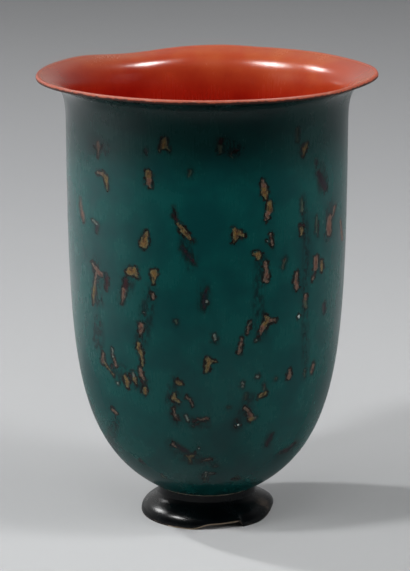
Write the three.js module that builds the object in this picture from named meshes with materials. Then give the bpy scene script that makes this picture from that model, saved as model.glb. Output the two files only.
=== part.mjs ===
// A lacquered metal vase: a deep bowl-bottomed body raised from one sheet, opening into a wide hand-bent lip,
// brazed to a small flared foot of the same sheet. Coats of lacquer cover both.
// Millimetres, +Z up. The floor is z = 0, and the body is turned about the Z axis.
import * as THREE from "three";

// Sheet metal and coats
const bodySheet = 1.2;
const footSheet = 1.2;
const groundCoat = 0.3;
const greenCoat = 0.4;
const redCoat = 0.6;
const blackCoat = 0.3;

// Body, measured on the outside of the metal
const bellyRadius = 79.5; // the nearly straight side
const bellyRise = 39; // height in which the round bottom swells out into the side
const bellyRoundness = 0.6; // 0.5 gives a full round bottom, 1 a pointed one
const sideHeight = 221.6; // from the lowest point up to where the flare starts
const neckDraw = 0.2; // how far the side draws in by there
const drawHeight = 80; // height over which it draws in

// Flare and lip
const flareHeight = 25.6;
const flareReach = 16.6; // how far the lip stands out from the neck
const neckHandle = 21; // how far the flare goes on upright before it turns out
const lipHandle = 12.5; // length of the flatter run out to the lip
const lipSlope = THREE.MathUtils.degToRad(16); // how steeply this run still climbs
const flareFollows = 0.4; // share of the lip's waves that the start of this run takes
const lipCap = 0.9; // red lacquer rounded over the edge of the lip

// Foot, measured on the outside of the metal
const footHeight = 18.2; // floor to the outer edge of the seat that carries the body
const footWaistHeight = 14;
const footWaistRadius = 28.1;
const seatSpread = 0.5; // how much wider the foot is at its seat than at its waist
const hemRadius = 38.1;
const bareHem = 0.8; // worn edge that the black lacquer leaves bare
const waistHandle = 5.8; // how far the waist goes on straight down
const toeHandle = 7.7; // how far the rounded toe comes straight down to the hem
const brazeLeg = 0.9; // each side of the brazed fillet between foot and body
const brazeHollow = 0.3; // how far its face sinks in, as a share of the way to the corner

// The lip and the hem are bent by hand. A wave runs from one azimuth to another, in degrees from +X towards +Y,
// and eases in and out. rise lifts the edge there and out spreads it.
const lipWaves = [
  { from: 93, to: 145, easeIn: 26, easeOut: 26, rise: -2.6, out: 0 },
  { from: 110, to: 230, easeIn: 60, easeOut: 60, rise: -1.0, out: 0 },
  { from: 68, to: 100, easeIn: 16, easeOut: 16, rise: 0.6, out: 0 },
  { from: -62, to: 38, easeIn: 50, easeOut: 50, rise: 0.6, out: 0 },
  { from: 3, to: 53, easeIn: 25, easeOut: 25, rise: 0, out: -1.5 },
  { from: -53, to: -3, easeIn: 25, easeOut: 25, rise: 0, out: -1.5 },
];
const hemWaves = [
  { from: -104, to: -57, easeIn: 17, easeOut: 4, rise: 2.8, out: 0 },
  { from: -98, to: -57, easeIn: 37, easeOut: 4, rise: 0.7, out: 0 },
  { from: -40, to: 45, easeIn: 40, easeOut: 45, rise: 4.2, out: 0.5 },
  { from: 85, to: 150, easeIn: 32, easeOut: 33, rise: 2.2, out: 0 },
];
const waistFollows = 0.19; // share of the hem's rise that the foot's waist takes
const toeFollows = 0.31; // share that its toe takes

// Fineness of the faceted surfaces
const facetsRound = 40;
const ringsInsideFoot = 3;
const ringsUpSide = 11;
const ringCrowding = 1.6; // above 1 the rings stand closer together near the foot
const ringsInFlare = 4;
const ringsDownFoot = 5;
const ringsOverLip = 4;

// A station is one point of a section: its radius and height, and its share of the lip's and the hem's waves.
function station(r, z, lip = 0, hem = 0) {
  return { r, z, lip, hem };
}

function between(a, b, share) {
  const mix = (p, q) => p + (q - p) * share;
  return station(mix(a.r, b.r), mix(a.z, b.z), mix(a.lip, b.lip), mix(a.hem, b.hem));
}

// How high above its lowest point the round bottom reaches a radius.
function heightAtRadius(r) {
  return -bellyRise * Math.log(1 - (r / bellyRadius) ** (1 / bellyRoundness));
}

// The radius of the body's side at a height above the lowest point.
function radiusAtHeight(h) {
  const swell = bellyRadius * (1 - Math.exp(-h / bellyRise)) ** bellyRoundness;
  const drawn = THREE.MathUtils.smoothstep(h, sideHeight - drawHeight, sideHeight);
  return swell - neckDraw * drawn;
}

// Moves a line of stations sideways by a distance, to the left of its run, with mitred corners.
function offset(line, distance) {
  const normals = line.slice(1).map((b, i) => {
    const a = line[i];
    return new THREE.Vector2(a.z - b.z, b.r - a.r).normalize();
  });
  return line.map((p, i) => {
    const after = normals[Math.min(i, normals.length - 1)];
    const before = i > 0 ? normals[i - 1] : p.r === 0 ? new THREE.Vector2(-after.x, after.y) : after;
    const mitre = before.clone().add(after).divideScalar(1 + before.dot(after));
    return station(p.r + distance * mitre.x, p.z + distance * mitre.y, p.lip, p.hem);
  });
}

// The sum of one property of the waves at an azimuth.
function waveAt(waves, azimuth, property) {
  return waves.reduce((sum, wave) => {
    const along = THREE.MathUtils.euclideanModulo(azimuth - wave.from, 360);
    const left = wave.to - wave.from - along;
    if (left <= 0) return sum;
    const eased = (x, width) => 0.5 - 0.5 * Math.cos(Math.PI * Math.min(x / width, 1));
    return sum + wave[property] * eased(along, wave.easeIn) * eased(left, wave.easeOut);
  }, 0);
}

// Turns a closed section about the axis and bends it with the waves. Two sections that share an edge get the
// same facets along it, because each facet is split from its lower station to its higher one.
function turned(section) {
  const area = section.reduce((sum, a, i) => {
    const b = section[(i + 1) % section.length];
    return sum + a.r * b.z - b.r * a.z;
  }, 0);
  const loop = area > 0 ? section : [...section].reverse();
  const positions = [];
  const columns = loop.map((p) => {
    const count = p.r === 0 ? 1 : facetsRound;
    const first = positions.length / 3;
    for (let j = 0; j < count; j++) {
      const azimuth = (360 * j) / facetsRound;
      const out = p.lip * waveAt(lipWaves, azimuth, "out") + p.hem * waveAt(hemWaves, azimuth, "out");
      const rise = p.lip * waveAt(lipWaves, azimuth, "rise") + p.hem * waveAt(hemWaves, azimuth, "rise");
      const angle = THREE.MathUtils.degToRad(azimuth);
      const r = p.r === 0 ? 0 : p.r + out;
      positions.push(r * Math.cos(angle), r * Math.sin(angle), p.z + rise);
    }
    return (j) => first + (count === 1 ? 0 : j % facetsRound);
  });
  const index = [];
  loop.forEach((a, i) => {
    const k = (i + 1) % loop.length;
    const b = loop[k];
    if (a.r === 0 && b.r === 0) return;
    const aIsLower = a.z < b.z || (a.z === b.z && a.r < b.r);
    for (let j = 0; j < facetsRound; j++) {
      const [a0, a1, b0, b1] = [columns[i](j), columns[i](j + 1), columns[k](j), columns[k](j + 1)];
      if (a.r === 0) index.push(a0, b1, b0);
      else if (b.r === 0) index.push(a0, a1, b0);
      else if (aIsLower) index.push(a0, a1, b1, a0, b1, b0);
      else index.push(a0, a1, b0, a1, b1, b0);
    }
  });
  const geometry = new THREE.BufferGeometry();
  geometry.setAttribute("position", new THREE.Float32BufferAttribute(positions, 3));
  geometry.setIndex(index);
  geometry.computeVertexNormals();
  return geometry;
}

// A closed section between two lines of stations that run the same way.
function band(line, otherLine) {
  return [...line, ...[...otherLine].reverse()];
}

// Where the foot is seated under the body
const seatOuterRadius = footWaistRadius + seatSpread;
const seatInnerRadius = footWaistRadius - footSheet;
const bottomHeight = footHeight - heightAtRadius(seatOuterRadius);

function bottomStation(r) {
  return station(r, bottomHeight + heightAtRadius(r));
}

// The outside of the body's metal inside the foot, from the axis out to the seat's inner edge.
function bottomLine() {
  const line = [station(0, bottomHeight)];
  for (let i = 1; i <= ringsInsideFoot; i++) line.push(bottomStation((seatInnerRadius * i) / ringsInsideFoot));
  return line;
}

// The outside of the body's metal above the foot, up the side and out to the lip.
function sideLine() {
  const start = heightAtRadius(seatOuterRadius + brazeLeg);
  const line = [bottomStation(seatOuterRadius + brazeLeg)];
  for (let i = 1; i <= ringsUpSide; i++) {
    const h = start + (sideHeight - start) * (i / ringsUpSide) ** ringCrowding;
    line.push(station(radiusAtHeight(h), bottomHeight + h));
  }
  const neck = line[line.length - 1];
  const lip = new THREE.Vector3(neck.r + flareReach, neck.z + flareHeight, 1);
  const flare = new THREE.CubicBezierCurve3(
    new THREE.Vector3(neck.r, neck.z, 0),
    new THREE.Vector3(neck.r, neck.z + neckHandle, 0),
    new THREE.Vector3(
      lip.x - lipHandle * Math.cos(lipSlope),
      lip.y - lipHandle * Math.sin(lipSlope),
      flareFollows,
    ),
    lip,
  );
  for (let i = 1; i <= ringsInFlare; i++) {
    const p = flare.getPoint(i / ringsInFlare);
    line.push(station(p.x, p.y, p.z));
  }
  return line;
}

// The outside of the foot's metal, from its seat down over the waist and the toe to the hem.
function footLine() {
  const seat = bottomStation(seatOuterRadius);
  const waist = station(footWaistRadius, footWaistHeight);
  const flare = new THREE.CubicBezierCurve3(
    new THREE.Vector3(waist.r, waist.z, 0),
    new THREE.Vector3(waist.r, waist.z - waistHandle, waistFollows),
    new THREE.Vector3(hemRadius, bareHem + toeHandle, toeFollows),
    new THREE.Vector3(hemRadius, bareHem, 1),
  );
  const line = [seat, between(seat, waist, brazeLeg / (seat.z - waist.z))];
  for (let i = 0; i <= ringsDownFoot; i++) {
    const p = flare.getPoint(i / ringsDownFoot);
    line.push(station(p.x, p.y, 0, p.z));
  }
  line.push(station(hemRadius, 0, 0, 1));
  return line;
}

const bottom = bottomLine();
const side = sideLine();
const footOutside = footLine();
const seatEdge = footOutside[0];
const bodyOutside = [...bottom, seatEdge, ...side];
const bodyInside = offset(bodyOutside, bodySheet);
const redSurface = offset(bodyOutside, bodySheet + redCoat);
const groundSurface = offset(bodyOutside, -groundCoat).slice(bottom.length + 1);
const greenSurface = offset(bodyOutside, -groundCoat - greenCoat).slice(bottom.length + 1);
const footInside = [bottom[bottom.length - 1], ...offset(footOutside, -footSheet).slice(2)];

// The red lacquer covers the inside and is rounded over the edges of the sheet and of the outer coats.
function redSection() {
  const last = (line) => line[line.length - 1];
  const [inner, outer] = [last(redSurface), last(greenSurface)];
  const middle = between(inner, outer, 0.5);
  const cap = [];
  for (let i = 1; i < ringsOverLip; i++) {
    const turn = (Math.PI * i) / ringsOverLip;
    const across = between(middle, inner, Math.cos(turn));
    const proud = lipCap * Math.sin(turn);
    cap.push(station(across.r + proud * Math.cos(lipSlope), across.z + proud * Math.sin(lipSlope), 1));
  }
  const sheetEdges = [outer, last(groundSurface), last(bodyOutside), ...[...bodyInside].reverse()];
  return [...redSurface, ...cap, ...sheetEdges];
}

// The fillet of braze in the corner between the foot and the body.
function brazeSection() {
  const onBody = side[0];
  const onFoot = footOutside[1];
  const hollow = between(between(onBody, onFoot, 0.5), seatEdge, brazeHollow);
  return [seatEdge, onFoot, hollow, onBody];
}

// The black lacquer under the body and inside the foot stops short of the hem, as it does outside.
function undersideSection() {
  const covered = [...bottom, ...footInside.slice(1, -1)];
  return band(covered, offset(covered, -blackCoat));
}

function footCoatSection() {
  const covered = footOutside.slice(1, -1);
  return band(covered, offset(covered, blackCoat));
}

const brass = { color: 0xb39a63, roughness: 0.45, metalness: 1 };
const finishes = {
  body_shell: brass,
  foot_skirt: brass,
  braze_ring: { color: 0xa58a55, roughness: 0.55, metalness: 1 },
  gilded_ground_coat: { color: 0x8a6a3a, roughness: 0.5, metalness: 0.3 },
  green_top_coat: { color: 0x0c3b38, roughness: 0.3, metalness: 0 },
  red_inner_coat: { color: 0xb23a1e, roughness: 0.35, metalness: 0 },
  black_foot_coat: { color: 0x0a0c0e, roughness: 0.3, metalness: 0 },
  black_underside_coat: { color: 0x0d0d0e, roughness: 0.45, metalness: 0 },
};
const sections = {
  body_shell: band(bodyOutside, bodyInside),
  foot_skirt: band(footOutside, footInside),
  braze_ring: brazeSection(),
  gilded_ground_coat: band(side, groundSurface),
  green_top_coat: band(groundSurface, greenSurface),
  red_inner_coat: redSection(),
  black_foot_coat: footCoatSection(),
  black_underside_coat: undersideSection(),
};

const vase = new THREE.Group();
for (const [name, section] of Object.entries(sections)) {
  const piece = new THREE.Mesh(turned(section), new THREE.MeshStandardMaterial(finishes[name]));
  piece.name = name;
  vase.add(piece);
}

export default vase;
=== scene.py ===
# %% [markdown]
# A lacquered metal vase.
# The vase is a deep round-bottomed body of sheet brass on a small flared foot. It is lacquered green
# outside, red inside and black on the foot, and the green is rubbed through in flecks to a gilded ground.
# This lesson turns every piece from one section line, bends lip and hem with a few waves as a hand would,
# and then paints the lacquer with nodes. Lengths are in millimetres until a mesh is made.

# %% Load the measured frame
import math

import bpy
import numpy as np
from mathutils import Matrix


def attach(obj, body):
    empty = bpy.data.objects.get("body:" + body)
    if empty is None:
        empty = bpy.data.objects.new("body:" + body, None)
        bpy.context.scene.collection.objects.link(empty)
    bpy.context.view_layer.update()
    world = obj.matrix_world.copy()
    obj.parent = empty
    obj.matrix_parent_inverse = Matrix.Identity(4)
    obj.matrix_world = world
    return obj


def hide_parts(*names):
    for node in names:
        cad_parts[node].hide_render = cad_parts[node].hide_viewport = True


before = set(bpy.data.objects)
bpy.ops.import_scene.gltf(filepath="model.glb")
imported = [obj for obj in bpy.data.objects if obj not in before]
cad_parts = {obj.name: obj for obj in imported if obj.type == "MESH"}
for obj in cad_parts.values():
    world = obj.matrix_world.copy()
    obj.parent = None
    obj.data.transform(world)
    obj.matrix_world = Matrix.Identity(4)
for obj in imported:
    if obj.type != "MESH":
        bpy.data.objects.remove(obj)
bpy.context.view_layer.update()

MM = 0.001
print("nodes:", sorted(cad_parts))


# %% [markdown]
# The camera stands a metre and a half away and half a metre up, and looks down by fourteen degrees. These
# numbers come from fitting the circles of lip, side and foot to the photograph. The flecks are placed
# through the same camera, so its facts are kept as plain numbers and not only in the camera object.

# %% The camera
PHOTO_WIDTH = 410
PHOTO_HEIGHT = 571
EYE_HEIGHT = 495.7
EYE_DISTANCE = 1450.0
EYE_PITCH = math.radians(13.971)
FOCAL_PIXELS = 2601.0
AXIS_PIXEL = 207.0
SENSOR = 36.0
CLIP_END = 50

camera_data = bpy.data.cameras.new("photo_camera")
camera_data.sensor_width = SENSOR
camera_data.lens = FOCAL_PIXELS / PHOTO_HEIGHT * SENSOR
camera_data.shift_x = (PHOTO_WIDTH / 2 - AXIS_PIXEL) / PHOTO_HEIGHT
camera_data.clip_end = CLIP_END
camera = bpy.data.objects.new("photo_camera", camera_data)
camera.location = (0, -EYE_DISTANCE * MM, EYE_HEIGHT * MM)
camera.rotation_euler = (math.pi / 2 - EYE_PITCH, 0, 0)
bpy.context.scene.collection.objects.link(camera)
bpy.context.scene.camera = camera
print("lens", round(camera_data.lens, 1), "mm")


# %% [markdown]
# One set of sizes describes the metal and its coats, all measured on the outside of the metal.
# The side is a curve that swells fast from the bottom and then runs nearly straight, like a deep raised
# bowl. A formula gives it, so that it can be drawn as finely as the lacquer needs.

# %% Sizes of the metal and the coats
SHEET = 1.2
GROUND_COAT = 0.3
GREEN_COAT = 0.4
RED_COAT = 0.6
BLACK_COAT = 0.3

BELLY_RADIUS = 79.5
BELLY_RISE = 39.0
BELLY_ROUNDNESS = 0.6
SIDE_HEIGHT = 221.6
NECK_DRAW = 0.2
DRAW_HEIGHT = 80.0

FLARE_HEIGHT = 25.56
FLARE_REACH = 16.6
NECK_HANDLE = 21.0
LIP_HANDLE = 12.5
LIP_SLOPE = math.radians(16)
FLARE_FOLLOWS = 0.4
LIP_CAP = 0.7

FOOT_HEIGHT = 18.2
WAIST_HEIGHT = 14.0
WAIST_RADIUS = 28.1
SEAT_SPREAD = 0.5
HEM_RADIUS = 38.1
BARE_HEM = 0.8
WAIST_HANDLE = 5.8
TOE_HANDLE = 7.7
BRAZE_LEG = 0.9
BRAZE_HOLLOW = 0.3
WAIST_FOLLOWS = 0.19
TOE_FOLLOWS = 0.31

# A wave is: from and to in degrees, ease in, ease out, how far it lifts the edge, how far it spreads it.
RISE = 4
SPREAD = 5
LIP_WAVES = [
    (93, 145, 26, 26, -2.6, 0),
    (110, 230, 60, 60, -1.0, 0),
    (68, 100, 16, 16, 0.6, 0),
    (-62, 38, 50, 50, 0.6, 0),
    (3, 53, 25, 25, 0, -1.5),
    (-53, -3, 25, 25, 0, -1.5),
]
HEM_WAVES = [
    (-40, 45, 40, 45, 4.2, 0.5),
    (85, 150, 32, 33, 2.2, 0),
]
# The chip in the front of the hem ends so steeply that the toe above it hardly follows.
CHIP_WAVES = [
    (-104, -57, 17, 4, 2.8, 0),
    (-98, -57, 37, 4, 0.7, 0),
]
CHIP_FADE = 2.5


# %% Curves of the section
def height_at_radius(r):
    """Height of the round bottom at a radius: minus the rise times the log of one less the filled share."""
    return -BELLY_RISE * np.log(1 - (r / BELLY_RADIUS) ** (1 / BELLY_ROUNDNESS))


def radius_at_height(h):
    """Radius of the side: full radius times (1 - e^(-h / rise)) to a power, less a draw at the neck."""
    swell = BELLY_RADIUS * (1 - np.exp(-h / BELLY_RISE)) ** BELLY_ROUNDNESS
    t = np.clip((h - SIDE_HEIGHT + DRAW_HEIGHT) / DRAW_HEIGHT, 0, 1)
    return swell - NECK_DRAW * t * t * (3 - 2 * t)


def bezier(points, count):
    """Cubic curve of four rows of numbers, weighted by (1-t)^3, 3t(1-t)^2, 3t^2(1-t) and t^3."""
    t = np.linspace(0, 1, count)[:, None]
    a, b, c, d = np.array(points, float)
    return a * (1 - t) ** 3 + 3 * b * t * (1 - t) ** 2 + 3 * c * t * t * (1 - t) + d * t ** 3


def run_of(line):
    """Length along a line of stations from its start, as the running sum of its steps in r and z."""
    step = np.hypot(*np.diff(line[:, :2], axis=0).T)
    return np.concatenate([[0], np.cumsum(step)])


def evenly(line, count):
    """The same line with its stations spaced evenly along its length."""
    run = run_of(line)
    at = np.linspace(0, run[-1], count)
    return np.column_stack([np.interp(at, run, column) for column in line.T])


def offset(line, distance):
    """A parallel line to the left of the run: each station moves along the mitre of the normals beside it."""
    step = np.diff(line[:, :2], axis=0)
    normal = np.column_stack([-step[:, 1], step[:, 0]]) / np.hypot(*step.T)[:, None]
    after = np.vstack([normal, normal[-1:]])
    before = np.vstack([normal[:1], normal])
    if line[0, 0] == 0:
        before[0, 0] = -before[0, 0]
    mitre = (before + after) / (1 + np.sum(before * after, axis=1))[:, None]
    moved = line.copy()
    moved[:, :2] += distance * mitre
    return moved


# %% [markdown]
# A section line is an array with four columns: radius, height, and the share of the lip's waves and of the
# hem's waves that each station takes. Three lines carry everything: the bottom inside the foot, the side
# up to the lip, and the foot from its seat down to the hem. Every coat is a parallel of one of them.
# Later a fifth column is added to some: how far a station lies from the edge where its coat is worn, or
# from the lip.

# %% The three lines that everything is built on
SEAT_RADIUS = WAIST_RADIUS + SEAT_SPREAD
SEAT_INNER_RADIUS = WAIST_RADIUS - SHEET
BOTTOM_HEIGHT = FOOT_HEIGHT - height_at_radius(SEAT_RADIUS)
RINGS_BOTTOM = 14
RINGS_SIDE = 160
RINGS_FLARE = 26
RINGS_FOOT = 36
SIDE_DRAWN_FINER = 8
FLARE_DRAWN_FINER = 4


def stations(r, z, lip=0.0, hem=0.0):
    """Rows of a section line from whole arrays of radii and heights and the shares of the waves."""
    r, z, lip, hem = np.broadcast_arrays(r, z, lip, hem)
    return np.column_stack([r, z, lip, hem]).astype(float)


def bottom_line():
    """The round bottom inside the foot, from the axis out to the seat's inner edge."""
    r = np.linspace(0, SEAT_INNER_RADIUS, RINGS_BOTTOM)
    return stations(r, BOTTOM_HEIGHT + height_at_radius(r))


def side_line():
    """The body above the foot: the side by its formula, then a cubic flare that leans out to the lip."""
    start = height_at_radius(SEAT_RADIUS + BRAZE_LEG)
    h = np.linspace(start, SIDE_HEIGHT, SIDE_DRAWN_FINER * RINGS_SIDE)
    side = evenly(stations(radius_at_height(h), BOTTOM_HEIGHT + h), RINGS_SIDE)
    neck = side[-1]
    lip = neck + np.array([FLARE_REACH, FLARE_HEIGHT, 1, 0])
    upright = np.array([0, NECK_HANDLE, 0, 0])
    lip_out, lip_up = LIP_HANDLE * math.cos(LIP_SLOPE), LIP_HANDLE * math.sin(LIP_SLOPE)
    run_in = np.array([lip_out, lip_up, 1 - FLARE_FOLLOWS, 0])
    flare = bezier([neck, neck + upright, lip - run_in, lip], FLARE_DRAWN_FINER * RINGS_FLARE)
    return np.vstack([side, evenly(flare, RINGS_FLARE)[1:]])


def foot_line():
    """The foot: seat, a short step down, the waist, and a cubic that turns out and down to the hem."""
    seat = stations(SEAT_RADIUS, FOOT_HEIGHT)
    share = BRAZE_LEG / (FOOT_HEIGHT - WAIST_HEIGHT)
    under_braze = stations(SEAT_RADIUS - SEAT_SPREAD * share, FOOT_HEIGHT - BRAZE_LEG)
    points = [
        (WAIST_RADIUS, WAIST_HEIGHT, 0, 0),
        (WAIST_RADIUS, WAIST_HEIGHT - WAIST_HANDLE, 0, WAIST_FOLLOWS),
        (HEM_RADIUS, BARE_HEM + TOE_HANDLE, 0, TOE_FOLLOWS),
        (HEM_RADIUS, BARE_HEM, 0, 1),
    ]
    toe = bezier(points, RINGS_FOOT)
    hem = stations(HEM_RADIUS, 0.0, 0.0, 1.0)
    return np.vstack([seat, under_braze, toe, hem])


bottom = bottom_line()
side = side_line()
foot_outside = foot_line()
seat_edge = foot_outside[:1]
body_outside = np.vstack([bottom, seat_edge, side])
first_on_side = len(bottom) + 1
body_inside = offset(body_outside, SHEET)
red_surface = offset(body_outside, SHEET + RED_COAT)
ground_surface = offset(body_outside, -GROUND_COAT)[first_on_side:]
green_surface = offset(body_outside, -GROUND_COAT - GREEN_COAT)[first_on_side:]
foot_inside = np.vstack([bottom[-1:], offset(foot_outside, -SHEET)[2:]])
print("side line", len(side), "stations,", round(run_of(side)[-1]), "mm long")


# %% [markdown]
# A piece is its closed section carried round the axis: a grid with the section's stations one way and the
# azimuth the other. Spin in the editor would do the same, but the waves of lip and hem change with the
# azimuth, so the grid is worked out as whole arrays and the waves are added to it.

# %% From a section to a mesh
SHARP_ANGLE = math.radians(38)


def eased(x, width):
    """Half a cosine that rises from 0 to 1 over the width and then stays at 1."""
    return 0.5 - 0.5 * np.cos(np.pi * np.clip(x / width, 0, 1))


def wave_sum(waves, azimuth, which):
    """Sum over the waves of the rise or the spread, whichever is asked for, times ease in times ease out."""
    total = np.zeros_like(azimuth)
    for wave in waves:
        start, end, ease_in, ease_out = wave[:4]
        along = np.mod(azimuth - start, 360)
        left = end - start - along
        total += np.where(left > 0, wave[which] * eased(along, ease_in) * eased(left, ease_out), 0)
    return total


def place_on(section, azimuth):
    """Points of a section at azimuths in degrees: radius and height plus each share times its wave.
    The chip takes the hem's share to a power, so that it fades fast above the hem."""
    r, z, lip, hem = section.T[:, :, None]
    out = lip * wave_sum(LIP_WAVES, azimuth, SPREAD) + hem * wave_sum(HEM_WAVES, azimuth, SPREAD)
    rise = lip * wave_sum(LIP_WAVES, azimuth, RISE) + hem * wave_sum(HEM_WAVES, azimuth, RISE)
    rise = rise + hem ** CHIP_FADE * wave_sum(CHIP_WAVES, azimuth, RISE)
    angle = np.radians(azimuth)
    radius = np.where(r == 0, 0, r + out)
    return np.stack([radius * np.cos(angle), radius * np.sin(angle), z + rise], axis=-1)


def band(line, other):
    """A closed section between two lines that run the same way."""
    return np.vstack([line, other[::-1]])


def section_area(section):
    """Twice the signed area of a closed section, which tells which way round it runs."""
    r, z = section[:, 0], section[:, 1]
    return np.sum(r * np.roll(z, -1) - np.roll(r, -1) * z)


def turned(name, section, columns):
    """The closed section swept round the axis; a station on the axis is one vertex, closed by triangles."""
    if section_area(section) < 0:
        section = section[::-1]
    azimuth = np.arange(columns) * 360 / columns
    grid = place_on(section[:, :4], azimuth)
    on_axis = section[:, 0] == 0
    counts = np.where(on_axis, 1, columns)
    first = np.concatenate([[0], np.cumsum(counts)[:-1]])
    points = np.vstack([row[:count] for row, count in zip(grid, counts)])
    step = np.arange(columns)
    ring = first[:, None] + np.where(on_axis[:, None], 0, step[None, :])
    a, b = ring, np.roll(ring, -1, axis=0)
    quads = np.stack([a, np.roll(a, -1, axis=1), np.roll(b, -1, axis=1), b], axis=-1)
    ends = on_axis | np.roll(on_axis, -1)
    faces = quads[~ends].reshape(-1, 4).tolist()
    for i in np.flatnonzero(ends):
        corners = quads[i]
        if on_axis[i] and on_axis[(i + 1) % len(section)]:
            continue
        keep = [0, 2, 3] if on_axis[i] else [0, 1, 2]
        faces += corners[:, keep].tolist()
    mesh = bpy.data.meshes.new(name)
    mesh.from_pydata((points * MM).tolist(), [], faces)
    mesh.shade_smooth()
    mesh.set_sharp_from_angle(angle=SHARP_ANGLE)
    if section.shape[1] > 4:
        from_edge = mesh.attributes.new("from_edge", "FLOAT", "POINT")
        from_edge.data.foreach_set("value", np.repeat(section[:, 4], counts).astype(np.float32))
    piece = bpy.data.objects.new(name, mesh)
    bpy.context.scene.collection.objects.link(piece)
    print(name, len(mesh.vertices), "vertices")
    return piece


def quad_corners(mesh):
    """Azimuth in radians and height and radius in mm of every face corner, with one row for each quad."""
    where = np.empty(len(mesh.vertices) * 3)
    mesh.vertices.foreach_get("co", where)
    where = where.reshape(-1, 3) / MM
    corner = np.empty(len(mesh.loops), int)
    mesh.loops.foreach_get("vertex_index", corner)
    x, y, z = where[corner].T.reshape(3, -1, 4)
    return np.arctan2(y, x), z, np.hypot(x, y)


# %% [markdown]
# The red lacquer is carried over the edge of the sheet, so from outside the lip shows as a thin coral band.
# Its cap is half an ellipse that stands a little proud of the edge. The braze is a small hollow fillet in
# the corner between foot and body.

# %% Sections with a shape of their own
CAP_STEPS = 12
COARSE_METAL = 3
COARSE_COAT = 4
COLUMNS_HIDDEN = 180
COLUMNS_UNDER = 240
COLUMNS_SHOWN = 360
COLUMNS_GREEN = 420


def thinned(line, step):
    """Every so many-th station of a line and its last one, for a side that never shows."""
    keep = np.unique(np.append(np.arange(0, len(line), step), len(line) - 1))
    return line[keep]


def marked(line, from_edge):
    """The line with its fifth column: the distance from the worn edge at every station, in mm."""
    return np.column_stack([line[:, :4], np.broadcast_to(from_edge, len(line))])


def green_section():
    """The ground coat's surface, coarse because it is hidden, and the green surface down from the lip."""
    shown = marked(green_surface, run_of(green_surface)[-1] - run_of(green_surface))
    return band(marked(thinned(ground_surface, COARSE_COAT), 0.0), shown)


def foot_section(line, other):
    """Two lines of the foot as one section, marked with their height above the hem."""
    both = band(line, other)
    return marked(both, both[:, 1])


def red_section():
    """Inner surface, then half an ellipse over the lip, then back down the inside of the metal."""
    inner, outer = red_surface[-1], green_surface[-1]
    middle = (inner + outer) / 2
    turn = np.linspace(0, np.pi, CAP_STEPS + 1)[1:-1, None]
    cap = middle + (inner - middle) * np.cos(turn)
    cap[:, :1] += LIP_CAP * np.sin(turn) * math.cos(LIP_SLOPE)
    cap[:, 1:2] += LIP_CAP * np.sin(turn) * math.sin(LIP_SLOPE)
    cap[:, 2] = 1
    shown = np.vstack([red_surface, cap, outer])
    hidden = np.vstack([ground_surface[-1], body_outside[-1], thinned(body_inside, COARSE_COAT)[::-1]])
    return np.vstack([marked(shown, run_of(shown)[-1] - run_of(shown)), marked(hidden, 0.0)])


def braze_section():
    """A triangle between seat edge, body and foot whose face is drawn in towards the corner."""
    on_body, on_foot, corner = side[0], foot_outside[1], seat_edge[0]
    hollow = (on_body + on_foot) / 2 * (1 - BRAZE_HOLLOW) + corner * BRAZE_HOLLOW
    return np.vstack([corner, on_foot, hollow, on_body])


sheet = band(thinned(body_outside, COARSE_METAL), thinned(body_inside, COARSE_METAL))
ground = band(thinned(side, COARSE_COAT), thinned(ground_surface, COARSE_COAT))
under_cover = np.vstack([bottom, foot_inside[1:-1]])
foot_cover = foot_outside[1:-1]
SECTIONS = {
    "body_shell": (sheet, COLUMNS_HIDDEN),
    "foot_skirt": (foot_section(foot_outside, foot_inside), COLUMNS_UNDER),
    "braze_ring": (braze_section(), COLUMNS_SHOWN),
    "gilded_ground_coat": (ground, COLUMNS_HIDDEN),
    "green_top_coat": (green_section(), COLUMNS_GREEN),
    "red_inner_coat": (red_section(), COLUMNS_SHOWN),
    "black_foot_coat": (foot_section(foot_cover, offset(foot_cover, BLACK_COAT)), COLUMNS_SHOWN),
    "black_underside_coat": (band(under_cover, offset(under_cover, -BLACK_COAT)), COLUMNS_UNDER),
}
pieces = {node: turned("vase_" + node, *section) for node, section in SECTIONS.items()}
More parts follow.
